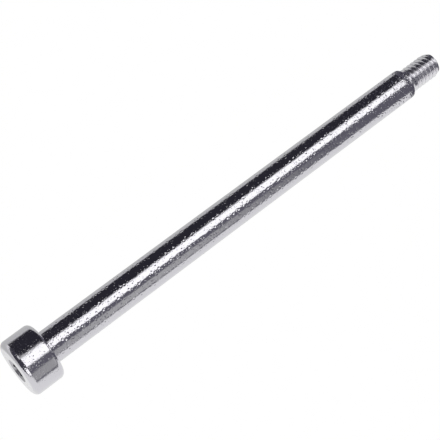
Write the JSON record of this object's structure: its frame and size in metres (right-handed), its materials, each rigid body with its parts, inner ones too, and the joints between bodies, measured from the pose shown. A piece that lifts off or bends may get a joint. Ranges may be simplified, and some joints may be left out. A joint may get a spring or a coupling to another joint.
{
  "type": "shoulder bolt",
  "caption": "Long shoulder bolt in bright plated steel: a rounded cylindrical head with a hexagon socket, a plain round shoulder to pivot on and a short thread at the end.",
  "frame": {"origin": "centre of the flat of the head, which the bolt stands on", "axes": "+Z along the bolt's axis, from the head to the thread; +X through one corner of the hexagon socket"},
  "size_m": [0.0138, 0.0138, 0.1278],
  "materials": {
    "bright_plating": "bright plating over turned steel, with small pits and dimples"
  },
  "bodies": {
    "root": {"shoulder_bolt": "bright_plating"}
  },
  "joints": []
}
